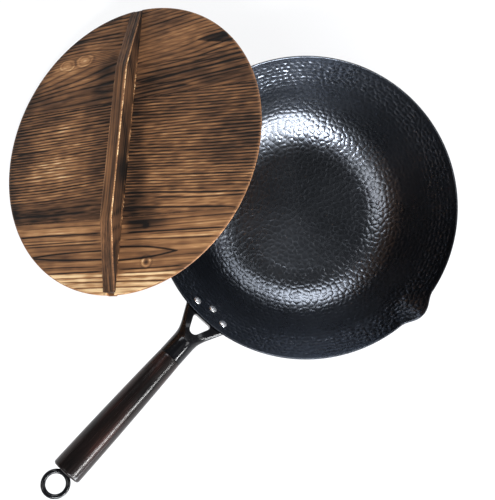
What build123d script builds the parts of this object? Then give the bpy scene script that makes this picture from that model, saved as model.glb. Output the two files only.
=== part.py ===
from build123d import *
from math import acos, asin, cos, degrees, hypot, radians, sin, sqrt, tan
import os

# Carbon steel wok with its wooden lid leaning on the rim, in millimetres.
# The origin is the centre of the flat base, +Z is up, the handle points along -Y.
# The pour spouts are on the X axis.

os.makedirs("parts", exist_ok=True)

# Bowl: a flat base, a heel arc up to the heel's slope, and a side arc up to the rim's, in degrees
rim_radius = 158.75
rim_height = 90.0
sheet = 1.6
base_radius_share = 0.416
heel_turn = 50.0
rim_turn = 65.2

# Pour spouts: a lip that reaches past the rim circle and fades out down the wall
spout_reach = 8.0
spout_half_width = 25.0
spout_depth = 40.0
spout_foot_half_width = 9.0
spout_shoulder_width_share = 0.39
spout_shoulder_reach_share = 0.45

# Rivets through the wall and the flange of the bracket
rivet_shank_radius = 2.5
rivet_head_radius = 4.6
rivet_head_height = 2.0
rivet_tail_radius = 4.0
rivet_tail_height = 1.7
rivet_dome_shares = [(1.0, 0.0), (0.86, 0.42), (0.52, 0.84), (0.0, 1.0)]
rivet_side_offset = 18.4
rivet_side_drop = 15.5
rivet_low_drop = 23.8

# Handle axis: it passes the rim circle below the rim and rises outwards
handle_rise = 18.0
handle_drop = 5.0

# Bracket: riveted flange, two arms round a window, and a socket for the grip
flange_thickness = 2.5
flange_half_width = 27.0
flange_top_drop = 8.0
flange_side_drop = 18.0
flange_bottom_drop = 32.5
flange_foot_half_width = 8.0
flange_corner_radius = 6.0
fork_length = 30.0
fork_root_width = 48.8
arm_height = 9.2
socket_diameter = 25.4
socket_wall = 2.5
socket_end = 52.0
socket_depth = 18.0
window_inset = 0.6
window_length = 27.3
window_root_width = 24.8
window_apex_radius = 5.7
window_corner_radius = 3.0

# Stations of the fork, as shares of its length, of the way from socket width to root width,
# and of the way from arm height to socket height
fork_station_shares = [
    (-0.35, 1.45, 0.00),
    (0.00, 1.00, 0.00),
    (0.30, 0.61, 0.06),
    (0.60, 0.23, 0.32),
    (0.80, 0.06, 0.68),
    (1.00, 0.01, 1.00),
]

# Tie nut, and the eye bolt that runs through the grip into it
bolt_radius = 3.0
bolt_tip_length = 4.5
bolt_tip_room = 1.0
nut_across_flats = 10.0
nut_thickness = 5.0
eye_outer_radius = 14.1
eye_wire_radius = 2.35
eye_offset = 13.2
collar_radius = 5.4
collar_thickness = 1.2

# Grip
grip_length = 148.5
grip_mid_diameter = 29.3
grip_end_diameter = 31.2
grip_end_round = 2.6
tenon_length = 12.0
eye_recess_radius = 7.2
eye_recess_depth = 2.4

# Lid: boards with an edge cut under, so that it sits in the mouth of the bowl when it is on
lid_radius = 158.0
lid_thickness = 12.0
lid_undercut = 10.0
lid_arris = 1.0
board_joint_shares = [0.33, -0.487, -0.88]

# Dowels across each joint: reach to each side, and places as shares of half the joint
dowel_radius = 2.5
dowel_reach = 12.0
outer_dowel_reach = 6.0
dowel_place_shares = [-0.75, -0.35, 0.35, 0.75]
outer_dowel_place_shares = [-0.45, 0.45]

# Batten across the boards, with a dovetail tongue in a groove
batten_width = 14.4
batten_foot_width = 13.6
batten_height = 20.0
batten_half_length = 155.0
batten_top_half_length = 83.0
batten_end_height = 2.5
batten_round = 1.2
tongue_mouth_width = 10.0
tongue_base_width = 13.0
tongue_depth = 6.0

# The lid leans: its underside on the rim, its low edge on the table
lean_tilt = 29.4
lean_heading = 15.3
lean_sideways = 29.2
grain_turn = 26.8

# Clearances
seat_gap = 0.1
slide_gap = 0.3
turning_fit = 0.08
joinery_gap = 0.05
overrun = 5.0

# The chord of the side arc has the mean of its two slopes, which gives the radius of the heel
base_radius = base_radius_share * rim_radius
chord_slope = tan(radians((heel_turn + rim_turn) / 2))
heel_run_share = sin(radians(heel_turn))
heel_rise_share = 1 - cos(radians(heel_turn))
heel_excess = chord_slope * (rim_radius - base_radius) - rim_height
heel_radius = heel_excess / (chord_slope * heel_run_share - heel_rise_share)
heel_end_radius = base_radius + heel_radius * heel_run_share
heel_end_height = heel_radius * heel_rise_share
side_run = rim_radius - heel_end_radius
side_rise = rim_height - heel_end_height
side_radius = hypot(side_run, side_rise) / (2 * sin(radians(rim_turn - heel_turn) / 2))
side_centre_radius = heel_end_radius - side_radius * sin(radians(heel_turn))
side_centre_height = heel_end_height + side_radius * cos(radians(heel_turn))


def side_turn(height, inset=0.0):
    """Slope of the wall in degrees at a height, on the surface inset from the outside."""
    return degrees(acos((side_centre_height - height) / (side_radius - inset)))


def wall_radius(height, inset=0.0):
    """Radius of the wall at a height, on the surface inset from the outside."""
    drop = side_centre_height - height
    return side_centre_radius + sqrt((side_radius - inset) ** 2 - drop**2)


def bowl_section(inset, top):
    """Half section of everything inside the wall's surface at an inset, up to a height."""
    with BuildSketch(Plane.XZ) as section:
        with BuildLine():
            floor_line = Line((0, inset), (base_radius, inset))
            heel = JernArc(floor_line @ 1, floor_line % 1, heel_radius - inset, heel_turn)
            side_size = side_turn(rim_height, inset) - heel_turn
            side = JernArc(heel @ 1, heel % 1, side_radius - inset, side_size)
            Polyline(side @ 1, (wall_radius(rim_height, inset), top), (0, top), (0, inset))
        make_face()
    return section.sketch


def spout_section(height, half_width, reach, inset):
    """Plan of one spout at a height, between the wall's circle and the lip."""
    radius = wall_radius(height, inset)
    flank = sqrt(radius**2 - half_width**2)
    shoulder = half_width * spout_shoulder_width_share
    shoulder_reach = sqrt(radius**2 - shoulder**2) + reach * spout_shoulder_reach_share
    with BuildSketch(Plane.XY.offset(height)) as section:
        with BuildLine():
            lip = Spline(
                (flank, -half_width),
                (shoulder_reach, -shoulder),
                (radius + reach, 0),
                (shoulder_reach, shoulder),
                (flank, half_width),
                tangents=[(half_width, flank), (-half_width, flank)],
            )
            Line(lip @ 1, lip @ 0)
        make_face()
    return section.sketch


def spout_sections(inset):
    """The spout's narrow foot behind the wall's surface, and its lip."""
    foot = spout_section(rim_height - spout_depth, spout_foot_half_width, -sheet, inset)
    lip = spout_section(rim_height, spout_half_width - inset, spout_reach, inset)
    return [foot, lip]


def wall_plane(lateral, drop):
    """Plane on the outside of the wall, at a distance beside the handle and below the rim."""
    height = rim_height - drop
    radius = wall_radius(height)
    azimuth = radians(-90) + asin(lateral / radius)
    slope = radians(side_turn(height))
    origin = (radius * cos(azimuth), radius * sin(azimuth), height)
    normal = (cos(azimuth) * sin(slope), sin(azimuth) * sin(slope), -cos(slope))
    return Plane(origin=origin, x_dir=(-sin(azimuth), cos(azimuth), 0), z_dir=normal)


rivet_planes = [
    wall_plane(-rivet_side_offset, rivet_side_drop),
    wall_plane(0, rivet_low_drop),
    wall_plane(rivet_side_offset, rivet_side_drop),
]

# Handle frame: x along the axis outwards from the rim circle, y across, z up
rise = radians(handle_rise)
handle_plane = Plane(
    origin=(0, -rim_radius, rim_height - handle_drop),
    x_dir=(0, -cos(rise), sin(rise)),
    z_dir=(0, sin(rise), cos(rise)),
)
handle_axis = Axis(handle_plane.origin, handle_plane.x_dir)
handle_side = Plane(handle_plane.origin, x_dir=handle_plane.x_dir, z_dir=-handle_plane.y_dir)
socket_floor = socket_end - socket_depth
socket_bore_radius = socket_diameter / 2 - socket_wall
grip_start = socket_end + slide_gap
grip_end = grip_start + grip_length
bolt_tip = socket_floor - bolt_tip_length


def handle_station(along):
    """Plane square to the handle's axis, at a distance from the rim circle."""
    origin = handle_plane.from_local_coords((along, 0, 0))
    return Plane(origin=origin, x_dir=handle_plane.y_dir, z_dir=handle_plane.x_dir)


def fork_section(along_share, width_share, height_share):
    """Rounded section of the fork at one station."""
    width = socket_diameter + width_share * (fork_root_width - socket_diameter)
    height = arm_height + height_share * (socket_diameter - arm_height)
    with BuildSketch(handle_station(along_share * fork_length)) as section:
        SlotOverall(width, height)
    return section.sketch


# Lid frame on the underside: x along the grain, y along the batten, z up through the boards
tilt = radians(lean_tilt)
heading = Vector(cos(radians(lean_heading)), sin(radians(lean_heading)), 0)
sideways = Vector(heading.Y, -heading.X, 0)
upwards = Vector(0, 0, 1)
slope = heading * cos(tilt) + upwards * sin(tilt)
lid_normal = upwards * cos(tilt) - heading * sin(tilt)
grain = slope * cos(radians(grain_turn)) - sideways * sin(radians(grain_turn))
underside_radius = lid_radius - lid_undercut
contact_reach = max(rim_radius, (rim_radius + spout_reach) * heading.X)
contact_height = rim_height + slide_gap / cos(tilt)
contact = upwards * contact_height - heading * contact_reach
down_slope = contact_height / sin(tilt) - underside_radius
lid_origin = contact - slope * down_slope + sideways * lean_sideways
lid_plane = Plane(origin=lid_origin, x_dir=grain, z_dir=lid_normal)
lid_axis = Axis(lid_origin, lid_normal)
lid_across = Plane(origin=lid_origin, x_dir=grain, z_dir=-lid_plane.y_dir)
lid_along = Plane(origin=lid_origin, x_dir=lid_plane.y_dir, z_dir=grain)

joint_offsets = [share * lid_radius for share in board_joint_shares]
board_edges = [lid_radius, *joint_offsets, -lid_radius]


def tongue_section(gap):
    """Dovetail across the batten, from the face of the boards down, smaller by a gap."""
    mouth = tongue_mouth_width / 2 - gap
    base = tongue_base_width / 2 - gap
    bottom = lid_thickness - tongue_depth + gap
    with BuildSketch(lid_across) as section:
        Polygon(
            (-mouth, lid_thickness),
            (mouth, lid_thickness),
            (base, bottom),
            (-base, bottom),
            align=None,
        )
    return section.sketch


def dowel_places(offset, place_shares):
    """Planes at the middle of each dowel of one joint, with z along the dowel."""
    half_chord = sqrt(lid_radius**2 - offset**2)
    places = []
    for share in place_shares:
        middle = lid_plane.from_local_coords((share * half_chord, offset, lid_thickness / 2))
        places.append(Plane(origin=middle, x_dir=grain, z_dir=lid_plane.y_dir))
    return places


# Bowl
with BuildPart() as bowl:
    revolve(bowl_section(0, rim_height), axis=Axis.Z)
    spout = loft(spout_sections(0), ruled=True)
    mirror(spout, about=Plane.YZ)
    revolve(bowl_section(sheet, rim_height + overrun), axis=Axis.Z, mode=Mode.SUBTRACT)
    hollow = loft(spout_sections(sheet), ruled=True, mode=Mode.SUBTRACT)
    mirror(hollow, about=Plane.YZ, mode=Mode.SUBTRACT)
    with Locations(*rivet_planes):
        Cylinder(rivet_shank_radius + joinery_gap, overrun, mode=Mode.SUBTRACT)

bowl.part.label = "bowl"
export_step(bowl.part, "parts/bowl.step")

# Bracket: flange on the wall, fork, socket and window, all one piece
with BuildPart() as handle_bracket:
    with BuildSketch(Plane.XZ):
        with BuildLine():
            top_height = rim_height - flange_top_drop
            side_height = rim_height - flange_side_drop
            foot_height = rim_height - flange_bottom_drop
            Polyline(
                (-flange_half_width, top_height),
                (flange_half_width, top_height),
                (flange_half_width, side_height),
                (flange_foot_half_width, foot_height),
                (-flange_foot_half_width, foot_height),
                (-flange_half_width, side_height),
                close=True,
            )
        flange_outline = make_face()
        fillet(flange_outline.vertices(), flange_corner_radius)
    extrude(amount=rim_radius)
    revolve(bowl_section(-seat_gap - flange_thickness, rim_height), axis=Axis.Z, mode=Mode.INTERSECT)
    loft([fork_section(*shares) for shares in fork_station_shares])
    with BuildSketch(handle_station(fork_length)):
        Circle(socket_diameter / 2)
    extrude(amount=socket_end - fork_length)
    revolve(bowl_section(-seat_gap, rim_height + overrun), axis=Axis.Z, mode=Mode.SUBTRACT)
    with BuildSketch(handle_plane) as window:
        Polygon(
            (window_inset, -window_root_width / 2),
            (window_inset + window_length, 0),
            (window_inset, window_root_width / 2),
            align=None,
        )
        fillet(window.vertices().sort_by(Axis.X)[-1], window_apex_radius)
        fillet(window.vertices().sort_by(Axis.X)[:2], window_corner_radius)
    extrude(amount=socket_diameter, both=True, mode=Mode.SUBTRACT)
    with BuildSketch(handle_station(socket_end)):
        Circle(socket_bore_radius)
    extrude(amount=-socket_depth, mode=Mode.SUBTRACT)
    with BuildSketch(handle_station(socket_floor)):
        Circle(bolt_radius + slide_gap)
    extrude(amount=-bolt_tip_length - bolt_tip_room, mode=Mode.SUBTRACT)
    with Locations(*rivet_planes):
        Cylinder(rivet_shank_radius + joinery_gap, 2 * socket_diameter, mode=Mode.SUBTRACT)

handle_bracket.part.label = "handle_bracket"
export_step(handle_bracket.part, "parts/handle_bracket.step")

# Rivets: a low dome inside the bowl, a shank, and a tail outside the flange
with BuildPart() as rivet:
    with BuildSketch(Plane.XZ):
        with BuildLine():
            head_face = -sheet - seat_gap
            tail_face = flange_thickness + 2 * seat_gap
            head = [
                (across * rivet_head_radius, head_face - up * rivet_head_height)
                for across, up in rivet_dome_shares
            ]
            tail = [
                (across * rivet_tail_radius, tail_face + up * rivet_tail_height)
                for across, up in rivet_dome_shares
            ]
            shank = [(rivet_shank_radius, head_face), (rivet_shank_radius, tail_face)]
            Polyline(*reversed(head), *shank, *tail, close=True)
        make_face()
    revolve(axis=Axis.Z)

with BuildPart() as handle_rivets:
    with Locations(*rivet_planes):
        add(rivet.part)

handle_rivets.part.label = "handle_rivets"
export_step(handle_rivets.part, "parts/handle_rivets.step")

# Tie nut on the floor of the socket
with BuildPart() as tie_nut:
    with BuildSketch(handle_station(socket_floor)):
        RegularPolygon(nut_across_flats / 2, 6, major_radius=False)
        Circle(bolt_radius + turning_fit, mode=Mode.SUBTRACT)
    extrude(amount=nut_thickness)

tie_nut.part.label = "tie_nut"
export_step(tie_nut.part, "parts/tie_nut.step")

# Grip: a turned handle with a tenon in the socket and a recess for the eye
with BuildPart() as grip:
    with BuildSketch(handle_side):
        with BuildLine():
            tenon_start = socket_end - tenon_length
            tenon_radius = socket_bore_radius - slide_gap
            bore_radius = bolt_radius + turning_fit
            recess_floor = grip_end - eye_recess_depth
            back = ThreePointArc(
                (grip_start, socket_diameter / 2),
                ((grip_start + grip_end) / 2, grip_mid_diameter / 2),
                (grip_end, grip_end_diameter / 2),
            )
            Polyline(
                back @ 1,
                (grip_end, eye_recess_radius),
                (recess_floor, eye_recess_radius),
                (recess_floor, bore_radius),
                (tenon_start, bore_radius),
                (tenon_start, tenon_radius),
                (grip_start, tenon_radius),
                back @ 0,
            )
        profile = make_face()
        fillet(profile.vertices().sort_by(Axis.Y)[-1], grip_end_round)
    revolve(axis=handle_axis)

grip.part.label = "grip"
export_step(grip.part, "parts/grip.step")

# Eye bolt: shank, collar and ring in one
with BuildPart() as eye_bolt:
    ring_radius = eye_outer_radius - eye_wire_radius
    eye_centre = grip_end + eye_offset
    collar_start = recess_floor + slide_gap
    with BuildSketch(handle_station(bolt_tip)):
        Circle(bolt_radius)
    extrude(amount=eye_centre - ring_radius - eye_wire_radius / 2 - bolt_tip)
    with BuildSketch(handle_station(collar_start)):
        Circle(collar_radius)
    extrude(amount=collar_thickness)
    with BuildSketch(handle_side):
        with Locations((eye_centre - ring_radius, 0)):
            Circle(eye_wire_radius)
    revolve(axis=Axis(handle_plane.from_local_coords((eye_centre, 0, 0)), handle_plane.z_dir))

eye_bolt.part.label = "eye_bolt"
export_step(eye_bolt.part, "parts/eye_bolt.step")

# Lid boards: strips of one disc, with the batten's groove and the dowels' holes
for index in range(len(board_edges) - 1):
    with BuildPart() as board:
        with BuildSketch(lid_across):
            with BuildLine():
                Polyline(
                    (0, 0),
                    (underside_radius, 0),
                    (lid_radius, lid_thickness - lid_arris),
                    (lid_radius, lid_thickness),
                    (0, lid_thickness),
                    close=True,
                )
            make_face()
        revolve(axis=lid_axis)
        with BuildSketch(lid_plane):
            high, low = board_edges[index], board_edges[index + 1]
            with Locations((0, (high + low) / 2)):
                Rectangle(2 * lid_radius, high - low)
        extrude(amount=lid_thickness, mode=Mode.INTERSECT)
        extrude(tongue_section(0), amount=lid_radius, both=True, mode=Mode.SUBTRACT)
        for offset in joint_offsets:
            outer = offset == joint_offsets[-1]
            reach = outer_dowel_reach if outer else dowel_reach
            shares = outer_dowel_place_shares if outer else dowel_place_shares
            with Locations(*dowel_places(offset, shares)):
                hole_length = 2 * (reach + joinery_gap)
                Cylinder(dowel_radius + joinery_gap, hole_length, mode=Mode.SUBTRACT)
    board.part.label = f"lid_board_{index + 1}"
    export_step(board.part, f"parts/lid_board_{index + 1}.step")

# Dowels across the joints
with BuildPart() as lid_dowels:
    for offset in joint_offsets:
        outer = offset == joint_offsets[-1]
        reach = outer_dowel_reach if outer else dowel_reach
        shares = outer_dowel_place_shares if outer else dowel_place_shares
        with Locations(*dowel_places(offset, shares)):
            Cylinder(dowel_radius, 2 * reach)

lid_dowels.part.label = "lid_dowels"
export_step(lid_dowels.part, "parts/lid_dowels.step")

# Batten: a bar with a level top and long sloping ends, and its tongue
with BuildPart() as lid_batten:
    top = lid_thickness + batten_height
    with BuildSketch(lid_across):
        Polygon(
            (-batten_foot_width / 2, lid_thickness),
            (batten_foot_width / 2, lid_thickness),
            (batten_width / 2, top),
            (-batten_width / 2, top),
            align=None,
        )
    extrude(amount=batten_half_length, both=True)
    with BuildSketch(lid_along):
        Polygon(
            (-batten_half_length, lid_thickness),
            (batten_half_length, lid_thickness),
            (batten_half_length, lid_thickness + batten_end_height),
            (batten_top_half_length, top),
            (-batten_top_half_length, top),
            (-batten_half_length, lid_thickness + batten_end_height),
            align=None,
        )
    extrude(amount=batten_width, both=True, mode=Mode.INTERSECT)
    crest = lid_batten.faces().sort_by(lid_axis)[-1]
    fillet(crest.edges().sort_by(SortBy.LENGTH)[-2:], batten_round)
    extrude(tongue_section(joinery_gap), amount=batten_half_length, both=True)

lid_batten.part.label = "lid_batten"
export_step(lid_batten.part, "parts/lid_batten.step")
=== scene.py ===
"""Looks of the wok and its wooden lid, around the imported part. Metres, in the part's own frame."""

import math

import bmesh
import bpy
import numpy as np
from mathutils import Euler, Matrix, Vector
from mathutils.kdtree import KDTree


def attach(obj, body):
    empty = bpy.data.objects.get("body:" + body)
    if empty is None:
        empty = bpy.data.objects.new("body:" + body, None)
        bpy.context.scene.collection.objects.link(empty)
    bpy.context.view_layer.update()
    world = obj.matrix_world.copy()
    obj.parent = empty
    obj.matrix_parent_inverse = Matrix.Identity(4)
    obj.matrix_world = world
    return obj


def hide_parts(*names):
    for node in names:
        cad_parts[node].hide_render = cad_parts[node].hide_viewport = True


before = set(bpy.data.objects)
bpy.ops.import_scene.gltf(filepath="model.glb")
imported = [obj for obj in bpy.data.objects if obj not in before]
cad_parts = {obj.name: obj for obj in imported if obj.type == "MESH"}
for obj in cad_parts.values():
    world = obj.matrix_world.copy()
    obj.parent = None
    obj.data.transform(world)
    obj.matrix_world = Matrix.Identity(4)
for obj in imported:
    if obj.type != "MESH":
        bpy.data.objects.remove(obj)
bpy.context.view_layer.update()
MM = 0.001
UP = Vector((0, 0, 1))

# Bowl, in millimetres as in the part: flat base, heel arc, side arc, and a spout on each side
RIM_RADIUS = 158.75
RIM_HEIGHT = 90.0
SHEET = 1.6
BASE_RADIUS = 0.416 * RIM_RADIUS
HEEL_TURN = math.radians(50)
RIM_TURN = math.radians(65.2)
SPOUT_REACH = 8.0
SPOUT_HALF_WIDTH = 25.0
SPOUT_FOOT_HALF_WIDTH = 9.0
SPOUT_DEPTH = 40.0
SPOUT_BOW = 3.6
SPOUT_FLANK_POWER = 1.1

# Gaps between pieces: seated, sliding and turning
SEAT_GAP = 0.1
SLIDE_GAP = 0.3
TURNING_FIT = 0.08

# Handle: axis, bracket, grip and eye bolt
HANDLE_RISE = math.radians(18)
HANDLE_DROP = 5.0
FLANGE_THICKNESS = 2.5
SOCKET_RADIUS = 12.7
SOCKET_WALL = 2.5
SOCKET_END = 52.0
SOCKET_DEPTH = 18.0
GRIP_START = SOCKET_END + SLIDE_GAP
GRIP_LENGTH = 148.5
GRIP_END = GRIP_START + GRIP_LENGTH
TENON_LENGTH = 12.0
RECESS_RADIUS = 7.2
RECESS_DEPTH = 2.4
BOLT_RADIUS = 3.0
BOLT_TIP_LENGTH = 4.5
COLLAR_RADIUS = 5.4
COLLAR_THICKNESS = 1.2
EYE_RADIUS = 11.75
EYE_WIRE = 2.35
EYE_OFFSET = 13.2
EYE_CENTRE = GRIP_END + EYE_OFFSET

# Lid: boards across which the batten runs, leaning on the rim
LID_RADIUS = 158.0
LID_UNDERCUT = 10.0
LID_THICKNESS = 12.0
BOARD_JOINTS = [share * LID_RADIUS for share in (0.33, -0.487, -0.88)]
LEAN_TILT = math.radians(29.4)
LEAN_HEADING = math.radians(15.3)
LEAN_SIDEWAYS = 29.2
GRAIN_TURN = math.radians(26.8)
BATTEN_HALF_LENGTH = 155.0
BATTEN_TOP_HALF_LENGTH = 83.0
BATTEN_HEIGHT = 20.0
BATTEN_END_HEIGHT = 2.5
BATTEN_HALF_WIDTH = 7.2
BATTEN_FOOT_HALF_WIDTH = 6.8
TONGUE_DEPTH = 6.0
TONGUE_MOUTH = 5.0
TONGUE_BASE = 6.5

# Heel arc and side arc of the bowl, as in the part
chord_slope = math.tan((HEEL_TURN + RIM_TURN) / 2)
heel_excess = chord_slope * (RIM_RADIUS - BASE_RADIUS) - RIM_HEIGHT
heel_radius = heel_excess / (chord_slope * math.sin(HEEL_TURN) - 1 + math.cos(HEEL_TURN))
heel_end = (BASE_RADIUS + heel_radius * math.sin(HEEL_TURN), heel_radius * (1 - math.cos(HEEL_TURN)))
side_chord = (RIM_RADIUS - heel_end[0], RIM_HEIGHT - heel_end[1])
side_radius = math.hypot(*side_chord) / (2 * math.sin((RIM_TURN - HEEL_TURN) / 2))
side_centre = (
    heel_end[0] - side_radius * math.sin(HEEL_TURN),
    heel_end[1] + side_radius * math.cos(HEEL_TURN),
)

# Mesh helpers


def linked(name, data):
    """A new object in the scene."""
    piece = bpy.data.objects.new(name, data)
    bpy.context.scene.collection.objects.link(piece)
    return piece


class Shape:
    """Grids of points, in millimetres, gathered into one mesh with named values per point."""

    def __init__(self):
        self.points, self.faces, self.values, self.count = [], [], [], 0

    def grid(self, points, around=False, flip=False, **values):
        rows, columns = points.shape[:2]
        index = np.arange(rows * columns).reshape(rows, columns) + self.count
        if around:
            index = np.hstack([index, index[:, :1]])
        corners = [index[:-1, :-1], index[1:, :-1], index[1:, 1:], index[:-1, 1:]]
        if flip:
            corners.reverse()
        self.faces.append(np.stack([c.ravel() for c in corners], axis=1))
        self.points.append(points.reshape(-1, 3))
        self.values.append({k: np.broadcast_to(v, (rows, columns)).ravel() for k, v in values.items()})
        self.count += rows * columns

    def mesh(self, name):
        mesh = bpy.data.meshes.new(name)
        mesh.from_pydata((np.vstack(self.points) * MM).tolist(), [], np.vstack(self.faces).tolist())
        for key in sorted({k for values in self.values for k in values}):
            parts = [v.get(key, np.zeros(len(p))) for v, p in zip(self.values, self.points)]
            layer = mesh.attributes.new(key, "FLOAT", "POINT")
            layer.data.foreach_set("value", np.concatenate(parts).astype(np.float32))
        work = bmesh.new()
        work.from_mesh(mesh)
        bmesh.ops.remove_doubles(work, verts=work.verts, dist=1e-6)
        bmesh.ops.dissolve_degenerate(work, edges=work.edges, dist=1e-7)
        work.to_mesh(mesh)
        work.free()
        return mesh

    def make(self, name, crease=40):
        piece = linked(name, self.mesh(name))
        smooth(piece, crease)
        return piece

    def solid(self, name="tool", crease=40):
        """Makes a closed piece, with its faces turned outward."""
        piece = self.make(name, crease)
        work = bmesh.new()
        work.from_mesh(piece.data)
        bmesh.ops.recalc_face_normals(work, faces=work.faces)
        work.to_mesh(piece.data)
        work.free()
        return piece


def smooth(piece, crease):
    piece.data.shade_smooth()
    piece.data.set_sharp_from_angle(angle=math.radians(crease))


def settle(piece, place):
    """Moves a piece's mesh to its place, and keeps its own coordinates for the grain."""
    own = np.empty(3 * len(piece.data.vertices), np.float32)
    piece.data.vertices.foreach_get("co", own)
    layer = piece.data.attributes.new("own", "FLOAT_VECTOR", "POINT")
    layer.data.foreach_set("vector", own)
    piece.data.transform(place)
    return piece


def dress(piece, body, slot, material, *nodes):
    """Gives a piece its material, and says what it rides on and which nodes it stands for."""
    piece.data.materials.clear()
    piece.data.materials.append(material)
    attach(piece, body)
    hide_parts(*nodes)


def points_of(x, y, z):
    """Points from their coordinates, which may be single numbers, rows or columns."""
    return np.stack(np.broadcast_arrays(x, y, z), axis=-1)


def full_turn(steps):
    return np.linspace(0, 2 * np.pi, steps, endpoint=False)


def frame_on(x_axis, y_axis, z_axis, origin=(0, 0, 0)):
    """Matrix of a frame with these axes and this origin."""
    matrix = Matrix((x_axis, y_axis, z_axis)).transposed().to_4x4()
    matrix.translation = origin
    return matrix


def lathe(shape, profile, frame_matrix, steps):
    """Revolves (along, radius) points about the matrix's x axis; ends on the axis close it."""
    along, radius = np.array(profile, float).T[:, :, None]
    turn = full_turn(steps)
    local = points_of(along, radius * np.cos(turn), radius * np.sin(turn))
    shape.grid(moved(local, frame_matrix), around=True, flip=True)


def moved(points, matrix):
    turn = np.array(matrix.to_3x3())
    return points @ turn.T + np.array(matrix.translation)


def arc(centre, radius, start, end, steps):
    angles = np.radians(np.linspace(start, end, steps))
    return [(centre[0] + radius * math.cos(a), centre[1] + radius * math.sin(a)) for a in angles]


def boolean(target, tool, operation):
    cut = target.modifiers.new("cut", "BOOLEAN")
    cut.operation = operation
    cut.object = tool
    cut.solver = "EXACT"
    apply_modifiers(target)
    bpy.data.objects.remove(tool)


def apply_modifiers(piece):
    bpy.context.view_layer.update()
    graph = bpy.context.evaluated_depsgraph_get()
    mesh = bpy.data.meshes.new_from_object(piece.evaluated_get(graph))
    piece.modifiers.clear()
    piece.data = mesh


def between(low, high, share):
    return low + (high - low) * share


NOISE_CELLS = 97


def smooth_noise(x, y, seed):
    """A smooth random field from -1 to 1, one cell per unit."""
    table = np.random.default_rng(seed).uniform(-1, 1, (NOISE_CELLS, NOISE_CELLS))
    cell_x, cell_y = np.floor(x).astype(int), np.floor(y).astype(int)
    part_x, part_y = x - cell_x, y - cell_y
    part_x, part_y = part_x**2 * (3 - 2 * part_x), part_y**2 * (3 - 2 * part_y)

    def corner(i, j):
        return table[(cell_x + i) % NOISE_CELLS, (cell_y + j) % NOISE_CELLS]

    low = between(corner(0, 0), corner(1, 0), part_x)
    high = between(corner(0, 1), corner(1, 1), part_x)
    return between(low, high, part_y)


def unit(value):
    """A value held between 0 and 1."""
    return np.clip(value, 0, 1)


def band(value, middle, width):
    """1 at a value's middle, falling off softly on both sides."""
    return np.exp(-(((value - middle) / width) ** 2))


def bump_of(x, y, x0, y0, reach_x, reach_y):
    """A soft hump of height 1 at a point."""
    return band(x, x0, reach_x) * band(y, y0, reach_y)


# Materials


def fill_ramp(node, stops):
    """Gives a colour ramp its stops, each a place and a colour."""
    elements = node.color_ramp.elements
    while len(elements) < len(stops):
        elements.new(0.5)
    for element, (place, colour) in zip(elements, stops):
        element.position = place
        element.color = (*colour, 1)


class Nodes:
    """Short names for the nodes of one material; a grained one follows its piece's own axes."""

    def __init__(self, name, grained=False):
        self.grained = grained
        self.material = bpy.data.materials.new(name)
        self.material.use_nodes = True
        self.tree = self.material.node_tree
        self.shader = self.tree.nodes["Principled BSDF"]

    def node(self, kind, inputs=None, **settings):
        made = self.tree.nodes.new("ShaderNode" + kind)
        for key, value in settings.items():
            setattr(made, key, value)
        for key, value in (inputs or {}).items():
            self.put(made.inputs[key], value)
        return made

    def put(self, socket, value):
        if isinstance(value, bpy.types.NodeSocket):
            self.tree.links.new(value, socket)
        else:
            socket.default_value = value

    def value(self, name):
        return self.node("Attribute", attribute_name=name).outputs["Fac"]

    def place(self, scale):
        if self.grained:
            spot = self.node("Attribute", attribute_name="own").outputs["Vector"]
        else:
            spot = self.node("TexCoord").outputs["Object"]
        scale = np.broadcast_to(scale, 3).tolist()
        return self.node("Mapping", {"Vector": spot, "Scale": scale}).outputs["Vector"]

    def noise(self, scale, detail=3.0, rough=0.5, spread=1.0):
        inputs = {"Vector": self.place(scale), "Scale": spread, "Detail": detail, "Roughness": rough}
        return self.node("TexNoise", inputs).outputs["Fac"]

    def math(self, operation, *values, clamp=False):
        made = self.node("Math", operation=operation, use_clamp=clamp)
        for socket, value in zip(made.inputs, values):
            self.put(socket, value)
        return made.outputs[0]

    def total(self, *parts):
        """Sum of values, each times its weight."""
        result = 0.0
        for value, weight in parts:
            result = self.math("MULTIPLY_ADD", value, weight, result)
        return result

    def span(self, value, low, high, to_low, to_high):
        names = ["Value", "From Min", "From Max", "To Min", "To Max"]
        inputs = dict(zip(names, [value, low, high, to_low, to_high]))
        return self.node("MapRange", inputs).outputs["Result"]

    def ramp(self, value, *stops):
        made = self.node("ValToRGB", {"Fac": value})
        fill_ramp(made, stops)
        return made.outputs["Color"]

    def bump(self, height, distance, strength=1.0, under=None):
        inputs = {"Height": height, "Distance": distance * MM, "Strength": strength}
        if under is not None:
            inputs["Normal"] = under
        return self.node("Bump", inputs).outputs["Normal"]

    def finish(self, **inputs):
        for key, value in inputs.items():
            self.put(self.shader.inputs[key.replace("_", " ")], value)
        return self.material


def blued_steel():
    """Dark heat-blued sheet, a little worn on the ridges between the hammer marks, with painted shade
    darkening the lip.
    """
    n = Nodes("blued_steel")
    cloud = n.noise(9, detail=4)
    fine = n.noise(900, detail=2)
    spots = {"Vector": n.place(150), "Scale": 1.0, "Smoothness": 0.35}
    dents = n.node("TexVoronoi", spots, feature="SMOOTH_F1").outputs["Distance"]
    outside = n.bump(n.math("MULTIPLY", dents, n.value("outside")), 0.5, 0.8)
    # The ridge value lightens the worn ridges between the marks; its strongly negative value on the lip
    # is painted shade, and its small negative value outside is wear
    tone = n.total((n.value("ridge"), 0.16), (cloud, 0.6))
    colour = n.ramp(
        tone,
        (0.0, (0.018, 0.02, 0.024)), (0.2, (0.095, 0.104, 0.12)),
        (0.5, (0.142, 0.152, 0.171)), (0.95, (0.22, 0.23, 0.25)),
    )
    rough = n.span(n.total((cloud, 1), (fine, 0.25)), 0.3, 0.9, 0.215, 0.31)
    return n.finish(
        Base_Color=colour, Metallic=1.0, Roughness=rough, Specular_Tint=(0.3, 0.31, 0.34, 1),
        Normal=n.bump(fine, 0.03, 0.35, outside),
    )


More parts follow.
